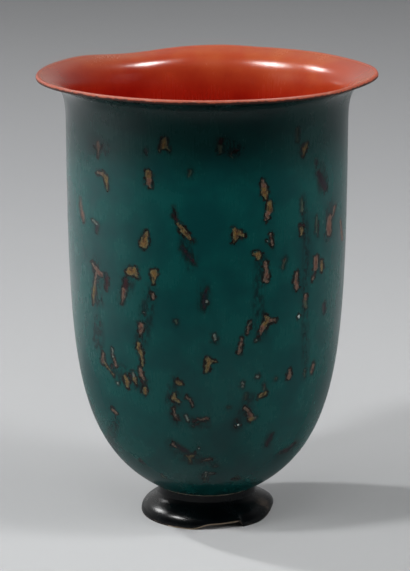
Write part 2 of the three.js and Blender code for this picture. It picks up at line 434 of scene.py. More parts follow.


# %% [markdown]
# The flecks are where the green was rubbed through to the gilded ground. Each one is a row of places with
# half widths, given on the photograph in its pixels, and between two places lies one tapered stroke.
# Rays from the camera carry the places onto the round side, and from there on a stroke is a shape on the
# lacquer, in millimetres. The unseen side gets strokes of the same kind from a seeded scatter.

# %% The flecks of the seen side: tone, then places in photo pixels as x, y, half width
# The glint tone is a painted highlight: small white spots of glinting light, drawn like flecks.
FLECKS = [
    ("rose", (97.8, 142.4, 1.0), (98.3, 146.5, 1.8), (98.4, 151, 0.9), (98.4, 156.5, 0.3)),
    ("black", (94.2, 145.6, 0.9), (96.2, 148, 0.8)),
    ("black", (102.5, 145.4, 0.9), (100.7, 148, 0.8)),
    ("rose", (97.6, 172.8, 0.8), (102.6, 173.6, 0.9)),
    ("gold", (103, 173.8, 1.3), (106.3, 179, 2.0), (107, 185, 1.1), (107.3, 189.5, 0.5)),
    ("gold", (148.3, 172.8, 2.9), (148.8, 177.5, 3.0)),
    ("rose", (149, 178, 3.0), (149.2, 183.5, 2.3), (150.6, 186.5, 0.8)),
    ("plum", (145.8, 149.5, 0.8), (146.2, 153.5, 0.9)),
    ("gold", (164.3, 140.2, 2.3), (163.4, 145.5, 3.2)),
    ("gold", (160.8, 147.5, 0.9), (159.6, 150.6, 0.6)),
    ("gold", (167, 147, 0.9), (169.4, 150.2, 0.6)),
    ("dim", (190.2, 170.8, 1.1), (189.2, 175.4, 1.2)),
    ("maroon", (220.6, 141, 1.7), (220.4, 144, 1.8)),
    ("dim", (220.3, 146, 2.3), (219.9, 152, 1.7)),
    ("dim", (231.2, 152.5, 0.5), (230.5, 156, 0.6), (232.5, 158, 0.6)),
    ("black", (234.5, 151.5, 2.2), (238.5, 150, 0.9)),
    ("dim", (297.2, 130, 0.8), (297.4, 140, 0.9)),
    ("gold", (306.4, 145, 1.6), (304.3, 149, 2.1), (303.2, 155.5, 0.7)),
    ("plum", (301.5, 147.5, 0.9), (301.2, 151, 0.7)),
    ("plum", (318.4, 173, 1.6), (321.5, 180, 2.9), (325, 187.5, 2.2)),
    ("plum", (316.5, 162, 1.2), (316.4, 164.5, 1.2)),
    ("rose", (262.6, 180.6, 1.2), (264, 187, 2.8)),
    ("gold", (264, 188, 3.0), (265, 194, 2.9), (266.2, 198.5, 1.2)),
    ("gold", (269.4, 203.5, 2.6), (269.6, 210, 2.9)),
    ("rose", (269, 212, 2.8), (265.8, 220, 1.3)),
    ("painted_glint", (267.6, 241.5, 0.8)),
    ("rose", (270.3, 234, 0.9), (272.4, 245, 1.1)),
    ("rose", (80.6, 200, 0.6), (81.2, 209, 0.9), (82.8, 215, 1.6), (83.6, 220.5, 0.8)),
    ("pale", (93, 220.8, 0.8), (97.3, 224.6, 0.9)),
    ("plum", (97.5, 226, 1.2), (96.3, 231, 1.1)),
    ("gold", (146.6, 232.8, 1.4), (144.6, 240, 3.6), (143.9, 243.6, 4.3)),
    ("rose", (92.6, 263.5, 0.9), (96, 268.5, 1.4), (98.5, 272, 2.0), (101.8, 274.5, 1.3)),
    ("rose", (96.6, 272, 1.0), (95.4, 279, 0.8), (94.9, 285, 0.7)),
    ("gold", (94.6, 288.5, 1.6), (93.6, 296, 1.2), (93.4, 303, 0.5)),
    ("plum", (106.2, 274.5, 1.2), (106.6, 277, 1.3)),
    ("maroon", (107.2, 278.5, 1.6), (106.6, 287.5, 1.5)),
    ("gold", (129.6, 271.6, 3.2), (134.2, 270.6, 3.1)),
    ("gold", (135.8, 273.2, 1.6), (137.6, 277, 0.9)),
    ("maroon", (125.6, 280, 1.9), (125.2, 287, 2.2)),
    ("rose", (124.2, 289.8, 2.4), (123.4, 296, 1.6), (121.6, 303.5, 0.4)),
    ("gold", (154, 273, 3.6), (154, 278, 2.0), (153.8, 284, 0.6)),
    ("rose", (152.2, 294, 1.1), (154, 298.5, 1.1)),
    ("pale", (144.2, 312.4, 0.6)),
    ("rose", (141.2, 325.5, 2.4), (141, 330, 2.1), (140.6, 334.5, 0.8)),
    ("black", (138.5, 323.4, 0.8), (143.8, 323.2, 0.9)),
    ("gold", (138.9, 344.2, 2.1), (138.8, 348.5, 2.3), (141.3, 354, 1.8), (142.6, 360, 1.1),
     (142.6, 366, 0.8)),
    ("rose", (103.4, 353.5, 0.9), (102.7, 361, 1.8)),
    ("gold", (104.8, 362.5, 0.7), (113.5, 374.5, 0.6)),
    ("pale", (112.2, 348.5, 0.7), (113.2, 357, 0.9)),
    ("rose", (113.8, 359, 1.0), (115.8, 364.6, 1.6)),
    ("maroon", (112.2, 366.5, 1.0)),
    ("black", (173.4, 208, 0.9), (174.6, 212, 1.2), (176.2, 217, 1.0)),
    ("maroon", (173, 214.5, 0.9), (177.6, 221.6, 1.1)),
    ("gold", (178.4, 223.6, 1.4), (182.6, 230, 2.4), (187, 235.6, 2.3), (190.4, 239.4, 1.3)),
    ("black", (192.2, 239, 0.8), (193.6, 242.6, 0.8)),
    ("plum", (182, 247, 1.2), (187, 254, 1.8), (194.5, 263, 1.4)),
    ("gold", (234.6, 229.4, 2.0), (236.4, 234, 3.4), (235, 239, 2.0), (233.6, 242.6, 0.6)),
    ("gold", (237.5, 232.5, 2.4), (243.6, 235, 1.5)),
    ("maroon", (241.6, 238.2, 0.9)),
    ("plum", (207.4, 288, 1.0), (204.6, 296, 1.6), (204, 308, 1.4)),
    ("pale", (206.1, 301.2, 1.4)),
    ("dim", (175.8, 320, 1.0), (176.2, 323, 1.0)),
    ("pale", (213.8, 335, 1.0), (215.2, 339.6, 1.1)),
    ("black", (213.2, 341.2, 0.8), (215.4, 342.4, 0.7)),
    ("gold", (207.6, 358.5, 1.7), (208.6, 362, 2.8), (207.6, 368, 2.2), (206.2, 372, 0.8)),
    ("gold", (210.5, 361, 1.5), (215.8, 361.6, 0.8)),
    ("rose", (241.6, 338.5, 1.0), (240.4, 345, 1.5), (239, 352.5, 1.8)),
    ("rose", (250.6, 321, 0.5), (248.6, 327, 0.8), (247.5, 333, 1.0)),
    ("gold", (253.8, 253.6, 1.2), (258, 254.6, 3.2), (258.6, 258, 1.8)),
    ("rose", (265.4, 263, 1.7), (266.3, 271, 2.0), (266.4, 277, 2.4)),
    ("rose", (264, 279.8, 1.3), (267, 281, 1.4)),
    ("dim", (284.8, 259.2, 1.3), (282.6, 267.8, 1.1)),
    ("rose", (296.8, 273.3, 1.4), (295.8, 281, 2.0), (296.8, 287.5, 1.9)),
    ("rose", (315.6, 258.5, 2.1), (315.6, 267, 2.3)),
    ("gold", (321.4, 262, 1.2), (321.6, 269, 1.4)),
    ("maroon", (314.8, 272.5, 0.9), (313.4, 276, 0.9)),
    ("rose", (313.2, 277, 0.9), (312.4, 279.5, 0.9)),
    ("dim", (301.8, 199.5, 1.0), (302, 210, 1.4)),
    ("black", (302, 213.3, 0.9)),
    ("maroon", (300, 225.8, 0.8), (303.5, 225.8, 0.8)),
    ("gold", (301.2, 229, 1.6), (301.4, 234, 1.2)),
    ("dim", (316.6, 218, 0.8), (316.3, 232, 0.8)),
    ("black", (318.4, 222, 0.5), (318, 236, 0.5)),
    ("maroon", (329.8, 216.3, 1.0)),
    ("rose", (329.5, 218.8, 2.1), (329, 226, 2.6), (329.3, 231.5, 2.2)),
    ("rose", (334.6, 207.5, 1.2), (332.6, 215, 0.8)),
    ("rose", (340.4, 222, 0.9), (342.2, 238, 1.3)),
    ("rose", (305.6, 296, 1.6), (305, 300, 1.3)),
    ("dim", (304.8, 301.5, 1.4), (305.5, 307, 1.3)),
    ("gold", (265.2, 316.2, 1.2), (268, 320, 2.4), (263.6, 325.5, 2.5)),
    ("rose", (263.4, 326, 2.5), (261.4, 330.5, 2.4), (260.6, 333.5, 1.2)),
    ("rose", (269, 319.8, 2.0), (275.6, 320.4, 0.9)),
    ("maroon", (258.5, 336.5, 0.8)),
    ("pale", (256.3, 340.2, 1.2)),
    ("painted_glint", (298.7, 316.3, 1.1)),
    ("plum", (324.2, 305, 1.3), (324.2, 310.5, 1.5)),
    ("rose", (313.4, 365, 1.4), (311.7, 371, 1.4)),
    ("rose", (289.6, 370.2, 1.2), (288.9, 377, 2.1)),
    ("pale", (257.5, 376.7, 1.4)),
    ("dim", (304.8, 370, 0.8), (304, 376, 0.7)),
    ("pale", (118, 383.6, 1.2)),
    ("gold", (125.2, 376.2, 1.6), (127, 381, 2.2), (127.6, 386.8, 0.9)),
    ("maroon", (130.5, 375.6, 1.1)),
    ("pale", (132.8, 372.8, 1.0), (133.8, 376, 1.2)),
    ("gold", (134.6, 379, 2.0), (135.8, 382.6, 1.0)),
    ("rose", (140.4, 368.6, 1.6), (141.4, 375, 1.9), (144.2, 379.6, 1.1)),
    ("maroon", (142.4, 381.8, 1.4)),
    ("gold", (144.9, 388.8, 2.2), (145.3, 393.3, 1.9)),
    ("gold", (177.8, 381.6, 1.9), (180.4, 383.6, 2.0)),
    ("gold", (174.6, 393.6, 1.2), (174.2, 398.4, 2.4), (179, 401.6, 1.1)),
    ("rose", (186.4, 397, 0.9), (190.2, 399.4, 0.8), (192.2, 405.6, 0.8)),
    ("rose", (173.4, 408, 0.7), (174.4, 413.5, 1.0), (177.2, 419.3, 1.1)),
    ("pale", (185.6, 415.4, 1.1), (188.2, 419.8, 1.3)),
    ("rose", (112.4, 409.4, 1.2), (115.6, 412.4, 1.5)),
    ("rose", (173, 444, 1.5), (175.4, 446.2, 1.4)),
    ("plum", (178, 446, 2.0), (186, 451.5, 2.4)),
    ("maroon", (194.6, 453.4, 1.5)),
    ("gold", (186.8, 455.6, 0.8), (190.4, 456.6, 1.6), (193.2, 455.4, 0.8)),
    ("gold", (190.5, 457.5, 1.2), (190.4, 462.6, 0.5)),
    ("maroon", (193.6, 421.8, 0.9), (197, 419.6, 1.0)),
    ("rose", (198.4, 418.8, 1.1), (202.6, 419.8, 1.0), (206.6, 418.4, 1.3)),
    ("black", (196, 424.4, 0.8), (201, 422, 0.9), (206.4, 422.4, 0.7)),
    ("pale", (193.2, 426, 0.8)),
    ("pale", (242.3, 382.4, 0.9), (242.5, 387, 1.0)),
    ("dim", (275.6, 378.6, 1.1)),
    ("gold", (259.4, 396.4, 1.7), (264.8, 393.2, 1.9)),
    ("dim", (264.2, 384.5, 0.8), (264, 390, 0.8)),
    ("dim", (246.4, 393.2, 0.7), (245.4, 399, 0.8)),
    ("rose", (245, 407.6, 1.2), (248.4, 412.2, 1.8), (250.4, 416, 2.6)),
    ("gold", (250.8, 418.8, 2.9)),
    ("pale", (254.6, 418, 1.3)),
    ("painted_glint", (238.4, 425, 1.1)),
    ("pale", (234.9, 425.4, 0.7)),
    ("black", (236, 420, 1.0), (237.2, 422.6, 0.8)),
    ("plum", (272, 434.5, 1.2), (269, 440, 2.0), (266.5, 446, 1.4)),
    ("plum", (281, 452.5, 1.2), (288, 449.5, 1.6), (294, 444, 1.6)),
    ("rose", (203.2, 460.6, 0.6), (210, 458.8, 0.8)),
    ("pale", (205.4, 472.6, 1.1), (206, 476.6, 0.9)),
    ("dim", (205.6, 477.4, 0.9), (204.6, 480.6, 1.4)),
    ("pale", (208.6, 473.8, 0.8), (213, 473.2, 0.9)),
    ("black", (202.6, 474, 0.5), (203, 479, 0.6)),
    ("dim", (236.4, 477.2, 1.4)),
    ("maroon", (233, 478.6, 0.7), (238.6, 479, 0.7)),
    ("dim", (215.6, 466.4, 1.2)),
    ("dim", (162.4, 475.6, 1.3), (164.4, 477.6, 1.1)),
    ("painted_glint", (199.1, 448.5, 0.6)),
    ("dim", (228.6, 407.8, 1.1)),
    ("plum", (140.8, 461, 1.5), (143, 463, 1.3)),
]
print(len(FLECKS), "flecks drawn by hand")

# %% From photo pixels onto the side
STRIDES = 700
NEAREST = EYE_DISTANCE - 120.0
FURTHEST = EYE_DISTANCE + 60.0
PIXEL_ON_SIDE = 0.58
FLATTEST = 0.42
side_run = run_of(green_surface)


def on_the_side(places):
    """Where rays through photo pixels first meet the side: azimuth, run up the side, and half width in mm.
    A half width grows by one over the cosine of how far the side turns away, down to a flattest cosine."""
    pixels = np.array(places, float)
    right = (pixels[:, 0] - AXIS_PIXEL) / FOCAL_PIXELS
    down = (pixels[:, 1] - PHOTO_HEIGHT / 2) / FOCAL_PIXELS
    forward = math.cos(EYE_PITCH) - down * math.sin(EYE_PITCH)
    sinking = math.sin(EYE_PITCH) + down * math.cos(EYE_PITCH)
    reach = np.linspace(NEAREST, FURTHEST, STRIDES)
    x = right[:, None] / forward[:, None] * reach
    y = np.broadcast_to(reach - EYE_DISTANCE, x.shape)
    z = EYE_HEIGHT - sinking[:, None] / forward[:, None] * reach
    gap = np.hypot(x, y) - np.interp(z, green_surface[:, 1], green_surface[:, 0])
    inside = gap < 0
    met = np.where(inside.any(axis=1), inside.argmax(axis=1), gap.argmin(axis=1))
    row = np.arange(len(pixels))
    azimuth = np.arctan2(y[row, met], x[row, met])
    run = np.interp(z[row, met], green_surface[:, 1], side_run)
    half = pixels[:, 2] * PIXEL_ON_SIDE / np.maximum(np.abs(np.sin(azimuth)), FLATTEST)
    return azimuth, run, half


# %% The strokes of the seen side
# The last tone is a painted highlight, the glints, not a rubbed fleck.
TONES = ["black", "plum", "maroon", "dim", "gold", "rose", "pale", "painted_glint"]


def strokes_between(azimuth, run, half, tone):
    """One row for each pair of neighbouring places: azimuth, run and half width of both, and the tone."""
    ends = np.column_stack([azimuth, run, half])
    return np.column_stack([ends[:-1], ends[1:], np.full(len(ends) - 1, tone)])


def seen_strokes():
    """The strokes of every listed fleck; a fleck with one place becomes a round dot."""
    rows = []
    for tone, *places in FLECKS:
        ends = places if len(places) > 1 else places * 2
        rows.append(strokes_between(*on_the_side(ends), TONES.index(tone)))
    return np.vstack(rows)


# %% The strokes of the unseen side, seeded
BACK_SEED = 11
BACK_FLECKS = 128
BACK_FROM = math.radians(-18)
BACK_TO = math.radians(198)
BACK_LOWEST = 14
BACK_HIGHEST = 215
BACK_TONES = [0.06, 0.08, 0.09, 0.15, 0.31, 0.26, 0.05, 0.0]
BACK_LENGTH = (2.0, 10.5)
BACK_HALF_WIDTH = (0.6, 2.3)
BACK_STROKES = (2, 5)
BACK_LEAN = 0.32
BACK_SWAY = 0.7
CHAINED = 0.55
CHAIN_DRIFT = 0.06
CHAIN_DROP = (6, 15)


def unseen_strokes():
    """A few strokes for each fleck at a seeded place; half of them hang below the one before, as in a chain.
    A fleck runs down from its place by its length, leans and sways, and is narrower when it is short."""
    draw = np.random.default_rng(BACK_SEED)
    rows = []
    azimuth, run = BACK_FROM, 0.0
    for _ in range(BACK_FLECKS):
        if run > 2 * BACK_LOWEST and draw.random() < CHAINED:
            azimuth = np.clip(azimuth + draw.normal(0, CHAIN_DRIFT), BACK_FROM, BACK_TO)
            run -= draw.uniform(*CHAIN_DROP)
        else:
            azimuth = draw.uniform(BACK_FROM, BACK_TO)
            run = draw.uniform(BACK_LOWEST, BACK_HIGHEST)
        radius = np.interp(run, side_run, green_surface[:, 0])
        lean = draw.normal(0, BACK_LEAN)
        length = draw.uniform(*BACK_LENGTH)
        widest = draw.uniform(*BACK_HALF_WIDTH) * min(1, 0.4 + length / 9)
        tone = draw.choice(len(TONES), p=BACK_TONES)
        count = draw.integers(*BACK_STROKES)
        half = widest * draw.uniform(0.2, 1, count + 1)
        sway = np.cumsum(draw.normal(0, BACK_SWAY, count + 1))
        t = np.linspace(0, 1, count + 1)
        at = azimuth + (t * length * math.sin(lean) + sway) / radius
        up = run - t * length * math.cos(lean)
        rows.append(strokes_between(at, up, half, tone))
    return np.vstack(rows)


strokes = np.vstack([seen_strokes(), unseen_strokes()])
print(len(strokes), "strokes on the whole side")


# %% [markdown]
# A painted texture would need an image, and colours on vertices would be as coarse as the mesh. So each
# quad of the green coat is given its nearest stroke and the next nearest one, and its four corners keep
# their place in that stroke's own measure: how far along it and how far beside it. The material works out
# the distance to the stroke from that, and the flecks stay sharp at any size.

# %% Give every quad of the green coat its two nearest strokes
SHORTEST = 0.02


def angle_between(start, end):
    """The signed angle from one azimuth to another, the short way round."""
    return np.mod(end - start + np.pi, 2 * np.pi) - np.pi


def stroke_measure(azimuth, run, radius, index):
    """Along and beside for points against strokes: the offset on the unrolled side, turned to the stroke."""
    start_azimuth, start_run, _, end_azimuth, end_run, _, _ = strokes[index].T[:, :, None]
    across = angle_between(start_azimuth, azimuth) * radius
    up = run - start_run
    stride = angle_between(start_azimuth, end_azimuth) * radius
    rise = end_run - start_run
    length = np.maximum(np.hypot(stride, rise), SHORTEST)
    cosine = np.where(length > SHORTEST, stride / length, 1)
    sine = np.where(length > SHORTEST, rise / length, 0)
    return across * cosine + up * sine, up * cosine - across * sine, length


def stroke_distance(along, beside, length, index):
    """Distance to a tapered stroke: to the nearest point of its line, less the half width there."""
    share = np.clip(along / length, 0, 1)
    start_half, end_half = strokes[index, 2][:, None], strokes[index, 5][:, None]
    return np.hypot(along - share * length, beside) - start_half - (end_half - start_half) * share


green = pieces["green_top_coat"]
corner_azimuth, corner_height, corner_radius = quad_corners(green.data)
corner_run = np.interp(corner_height, green_surface[:, 1], side_run)
quad_azimuth = np.arctan2(np.sin(corner_azimuth).mean(1), np.cos(corner_azimuth).mean(1))[:, None]
quad_run, quad_radius = corner_run.mean(1)[:, None], corner_radius.mean(1)[:, None]
best = np.full((2, len(quad_run)), np.inf)
chosen = np.zeros((2, len(quad_run)), int)
for number in range(len(strokes)):
    index = np.full(len(quad_run), number)
    measure = stroke_measure(quad_azimuth, quad_run, quad_radius, index)
    gap = stroke_distance(*measure, index)[:, 0]
    nearest = gap < best[0]
    second = ~nearest & (gap < best[1])
    best[1] = np.where(nearest, best[0], np.where(second, gap, best[1]))
    chosen[1] = np.where(nearest, chosen[0], np.where(second, number, chosen[1]))
    best[0] = np.where(nearest, gap, best[0])
    chosen[0] = np.where(nearest, number, chosen[0])


def keep_on_corners(piece, name, columns):
    """Stores a vector for each face corner of a piece from three arrays of one row for each quad."""
    attribute = piece.data.attributes.new(name, "FLOAT_VECTOR", "CORNER")
    values = np.stack([np.broadcast_to(c, corner_run.shape) for c in columns], axis=-1)
    attribute.data.foreach_set("vector", values.astype(np.float32).ravel())


for rank, name in enumerate(("near", "next")):
    index = chosen[rank]
    keep_on_corners(green, name + "_place", stroke_measure(corner_azimuth, corner_run, corner_radius, index))
    start_half, end_half, tone = strokes[index, 2], strokes[index, 5], strokes[index, 6]
    tone_share = (tone + 0.5) / len(TONES)
    keep_on_corners(green, name + "_shape", (start_half[:, None], end_half[:, None], tone_share[:, None]))
print("quads inside a stroke:", int(np.sum(best[0] < 0)))

# %% Smoky smears, soft enough to be kept on the vertices, in photo pixels as the flecks are
SMEARS = [
    ((98, 322, 2.5), (98, 341, 4)),
    ((117, 420, 1.2), (113, 446, 2.6)),
    ((172, 444, 3), (188, 458, 5), (212, 462, 2.5)),
    ((303, 196, 0.6), (307, 250, 1.2), (304, 300, 1.6), (305, 362, 0.8)),
    ((280, 455, 3), (294, 446, 3)),
    ((96, 262, 2), (98, 300, 3.5)),
    ((128, 282, 4), (122, 300, 2)),
    ((150, 290, 3), (146, 318, 4), (140, 345, 3.5)),
    ((120, 372, 5), (142, 384, 5)),
    ((177, 380, 3), (172, 400, 4), (178, 422, 2.5)),
    ((192, 422, 2.5), (206, 424, 2.5)),
    ((250, 396, 2), (238, 425, 3.5)),
    ((184, 244, 2.5), (192, 264, 3.5)),
    ((204, 288, 2.5), (204, 308, 2.5)),
    ((262, 262, 3), (258, 300, 2), (262, 334, 3)),
    ((92, 145, 3), (104, 148, 3)),
    ((222, 143, 3.5), (238, 150, 3)),
    ((320, 170, 3), (324, 186, 4)),
    ((330, 208, 3), (328, 232, 3)),
    ((270, 436, 1.4), (267, 444, 1)),
]
SMEAR_SOFTNESS = 4.2


def smear_darkness(azimuth, run, radius):
    """The darkest smear at each point: 1 inside its half width, easing to nothing over the softness."""
    darkest = np.zeros_like(run)
    for places in SMEARS:
        at, up, half = on_the_side(places)
        for i in range(len(places) - 1):
            dx, dy = (at[i + 1] - at[i]) * radius, up[i + 1] - up[i]
            x, y = angle_between(at[i], azimuth) * radius, run - up[i]
            share = np.clip((x * dx + y * dy) / (dx * dx + dy * dy), 0, 1)
            gap = np.hypot(x - share * dx, y - share * dy) - half[i] - (half[i + 1] - half[i]) * share
            darkest = np.maximum(darkest, 1 - eased(gap, SMEAR_SOFTNESS))
    return darkest


vertex = np.empty(len(green.data.vertices) * 3)
green.data.vertices.foreach_get("co", vertex)
x, y, z = vertex.reshape(-1, 3).T / MM
darkness = smear_darkness(np.arctan2(y, x), np.interp(z, green_surface[:, 1], side_run), np.hypot(x, y))
smear = green.data.attributes.new("smear", "FLOAT", "POINT")
smear.data.foreach_set("value", darkness.astype(np.float32))
print("smeared share:", round(float(darkness.mean()), 3))


# %% [markdown]
# Materials are built with a small helper that adds one node at a time and hands back its socket, so that a
# finish reads like a sum. What more than one finish needs is a node group: the hand-rubbed lacquer with its
# mottling and hair-fine upright streaks, the ragged worn edge, and the distance to a stroke.

# %% A helper that writes node trees
def srgb(red, green_part, blue):
    """A colour written as 0 to 255 turned into the linear numbers that shaders work with."""
    share = np.array([red, green_part, blue]) / 255
    linear = np.where(share <= 0.04045, share / 12.92, ((share + 0.055) / 1.055) ** 2.4)
    return (*linear.tolist(), 1.0)


class Bench:
    """A node tree on the bench: every call adds one node, wires it up and gives its output back."""

    def __init__(self, tree):
        self.tree = tree

    def add(self, kind, **settings):
        node = self.tree.nodes.new(kind)
        for name, value in settings.items():
            setattr(node, name, value)
        return node

    def feed(self, socket, value):
        if isinstance(value, bpy.types.NodeSocket):
            self.tree.links.new(value, socket)
        else:
            socket.default_value = value

    def feed_row(self, sockets, values):
        for socket, value in zip(sockets, values):
            self.feed(socket, value)

    def feed_named(self, sockets, values):
        for name, value in values.items():
            self.feed(sockets[name], value)

    def math(self, operation, *values):
        node = self.add("ShaderNodeMath", operation=operation)
        self.feed_row(node.inputs, values)
        return node.outputs[0]

    def vector(self, operation, *values):
        node = self.add("ShaderNodeVectorMath", operation=operation)
        self.feed_row(node.inputs, values)
        return node.outputs["Value"] if operation == "LENGTH" else node.outputs[0]

    def parts(self, vector):
        node = self.add("ShaderNodeSeparateXYZ")
        self.feed(node.inputs[0], vector)
        return node.outputs

    def join(self, *values):
        node = self.add("ShaderNodeCombineXYZ")
        self.feed_row(node.inputs, values)
        return node.outputs[0]

    def dimmed(self, colour, share):
        """The colour times a share."""
        return self.vector("MULTIPLY", colour, self.join(share, share, share))

    def step(self, value, low, high, start=0.0, end=1.0):
        """Goes smoothly from start at low to end at high."""
        node = self.add("ShaderNodeMapRange", interpolation_type="SMOOTHSTEP")
        ends = {"From Min": low, "From Max": high, "To Min": start, "To Max": end}
        self.feed_named(node.inputs, {"Value": value, **ends})
        return node.outputs[0]

    def noise(self, place, scale, detail=2.0, roughness=0.5, output=0):
        """Cloudy noise from 0 to 1 with most of it near a half; output 1 gives it as a colour."""
        node = self.add("ShaderNodeTexNoise")
        grain = {"Scale": scale, "Detail": detail, "Roughness": roughness}
        self.feed_named(node.inputs, {"Vector": place, **grain})
        return node.outputs[output]

    def mix(self, share, first, second):
        node = self.add("ShaderNodeMix", data_type="RGBA")
        self.feed_row((node.inputs[0], node.inputs[6], node.inputs[7]), (share, first, second))
        return node.outputs[2]

    def table(self, value, colours):
        """Looks a value from 0 to 1 up in a row of flat colours."""
        node = self.add("ShaderNodeValToRGB")
        node.color_ramp.interpolation = "CONSTANT"
        stops = node.color_ramp.elements
        while len(stops) < len(colours):
            stops.new(0.5)
        for number, (stop, colour) in enumerate(zip(stops, colours)):
            stop.position = number / len(colours)
            stop.color = colour
        self.feed(node.inputs[0], value)
        return node.outputs[0]

    def attribute(self, name, output="Vector"):
        node = self.add("ShaderNodeAttribute", attribute_name=name, attribute_type="GEOMETRY")
        return node.outputs[output]

    def place_in_mm(self):
        where = self.add("ShaderNodeTexCoord").outputs["Object"]
        return self.vector("MULTIPLY", where, (1 / MM, 1 / MM, 1 / MM))

    def group(self, recipe, **values):
        """Puts another bench's node group to work, with its inputs given by name."""
        node = self.add("ShaderNodeGroup")
        node.node_tree = recipe.tree
        self.feed_named(node.inputs, {name.replace("_", " "): value for name, value in values.items()})
        return node.outputs

    def bump(self, height, strength=1.0):
        node = self.add("ShaderNodeBump")
        self.feed_named(node.inputs, {"Strength": strength, "Distance": MM, "Height": height})
        return node.outputs[0]


def new_group(name, inputs, outputs):
    """An empty node group with named sockets, its bench, and its input and output nodes."""
    tree = bpy.data.node_groups.new(name, "ShaderNodeTree")
    for direction, sockets in (("INPUT", inputs), ("OUTPUT", outputs)):
        for socket_name, kind in sockets.items():
            tree.interface.new_socket(socket_name, in_out=direction, socket_type="NodeSocket" + kind)
    bench = Bench(tree)
    return bench, bench.add("NodeGroupInput").outputs, bench.add("NodeGroupOutput").inputs


def new_material(name):
    """A material with only its Principled shader and output, and the bench to build on."""
    material = bpy.data.materials.new(name)
    material.use_nodes = True
    bench = Bench(material.node_tree)
    return material, bench, material.node_tree.nodes["Principled BSDF"].inputs


# %% The hand-rubbed lacquer group
STREAK_STRETCH = (0.9, 0.9, 0.035)
PEEL_HEIGHT = 0.05
HAIR_HEIGHT = 0.001

lacquer, given, result = new_group(
    "hand rubbed lacquer",
    {"Place": "Vector", "Colour": "Color", "Deep colour": "Color", "Mottle size": "Float", "Gloss": "Float"},
    {"Colour": "Color", "Roughness": "Float", "Height": "Float"},
)
cloud = lacquer.noise(lacquer.vector("DIVIDE", given["Place"], given["Mottle size"]), 1.0, 4.0, 0.55)
upright = lacquer.vector("MULTIPLY", given["Place"], STREAK_STRETCH)
streak = lacquer.noise(upright, 1.0, 3.0, 0.6)
speckle = lacquer.noise(given["Place"], 0.7, 3.0, 0.65)
depth = lacquer.math("ADD", lacquer.step(cloud, 0.36, 0.68), lacquer.step(streak, 0.56, 0.78, 0.0, 0.35))
tinted = lacquer.mix(lacquer.math("MINIMUM", depth, 1.0), given["Colour"], given["Deep colour"])
speckled = lacquer.step(speckle, 0.6, 0.85, 0.0, 0.35)
lacquer.feed(result["Colour"], lacquer.mix(speckled, tinted, given["Deep colour"]))
duller = lacquer.step(streak, 0.3, 0.7, -0.01, 0.01)
clouded = lacquer.step(cloud, 0.3, 0.7, 0.03, -0.03)
lacquer.feed(result["Roughness"], lacquer.math("ADD", given["Gloss"], lacquer.math("ADD", duller, clouded)))
peel = lacquer.math("MULTIPLY", lacquer.noise(given["Place"], 0.22, 2.0), PEEL_HEIGHT)
hairs = lacquer.math("MULTIPLY", streak, HAIR_HEIGHT)
lacquer.feed(result["Height"], lacquer.math("ADD", peel, hairs))

# %% The worn edge group
worn_edge, given, result = new_group(
    "worn edge",
    {"Place": "Vector", "Distance": "Float", "Reach": "Float", "Raggedness": "Float"},
    {"Mask": "Float"},
)
ragged = worn_edge.math("SUBTRACT", worn_edge.noise(given["Place"], 0.35, 4.0, 0.6), 0.5)
shifted = worn_edge.math("MULTIPLY_ADD", ragged, given["Raggedness"], given["Distance"])
worn = worn_edge.math("DIVIDE", shifted, given["Reach"])
worn_edge.feed(result["Mask"], worn_edge.step(worn, 0.75, 1.1, 1.0, 0.0))

# %% The stroke group
stroke, given, result = new_group(
    "rubbed stroke",
    {"Stroke place": "Vector", "Stroke shape": "Vector", "Tremble": "Vector"},
    {"Distance": "Float", "Tone": "Float"},
)
shape = stroke.parts(given["Stroke shape"])
length = stroke.parts(given["Stroke place"])[2]
shaken = stroke.parts(stroke.vector("ADD", given["Stroke place"], given["Tremble"]))
share = stroke.math("MINIMUM", stroke.math("MAXIMUM", stroke.math("DIVIDE", shaken[0], length), 0.0), 1.0)
half = stroke.math("MULTIPLY_ADD", stroke.math("SUBTRACT", shape[1], shape[0]), share, shape[0])
past = stroke.math("SUBTRACT", shaken[0], stroke.math("MULTIPLY", share, length))
gap = stroke.vector("LENGTH", stroke.join(past, shaken[1], 0.0))
stroke.feed(result["Distance"], stroke.math("SUBTRACT", gap, half))
stroke.feed(result["Tone"], shape[2])
print("node groups:", [group.name for group in bpy.data.node_groups])


# %% [markdown]
# The green lacquer is the finish that is looked at most. Below it lie a near-black coat and the gilded
# ground, so a rubbed fleck has a gold heart, a paler rim and a dark ring where the black coat comes out.
# The tones of the strokes choose from small tables: some flecks are rubbed right through to gold, some only
# to the maroon or plum coloured coats between. The distance to the stroke then says what shows: heart,
# ring, a haze of smoke, or plain green. Both strokes of a quad are measured, and the nearer one counts.

# %% Green lacquer
# The last colour of each table is the white of the painted glints.
HEART = [
    srgb(6, 7, 8), srgb(34, 32, 42), srgb(58, 24, 28), srgb(90, 94, 74),
    srgb(132, 102, 58), srgb(128, 88, 72), srgb(150, 152, 138), srgb(236, 246, 240),
]
RIM = [
    srgb(6, 7, 8), srgb(20, 38, 44), srgb(40, 24, 30), srgb(60, 82, 70),
    srgb(112, 106, 76), srgb(112, 98, 86), srgb(118, 130, 122), srgb(220, 236, 228),
]
RING_STRENGTH = [0.3, 0.45, 0.8, 0.5, 0.95, 0.9, 0.7, 0.8]
GREEN = srgb(3, 73, 70)
GREEN_DEEP = srgb(2, 60, 60)
SMOKE = srgb(7, 24, 27)
RING_BLACK = srgb(9, 9, 7)
MAROON_COAT = srgb(62, 30, 34)
RING_BROWN = srgb(34, 20, 14)
EDGE_COLOUR = srgb(30, 18, 10)
HALF = (0.5, 0.5, 0.5)
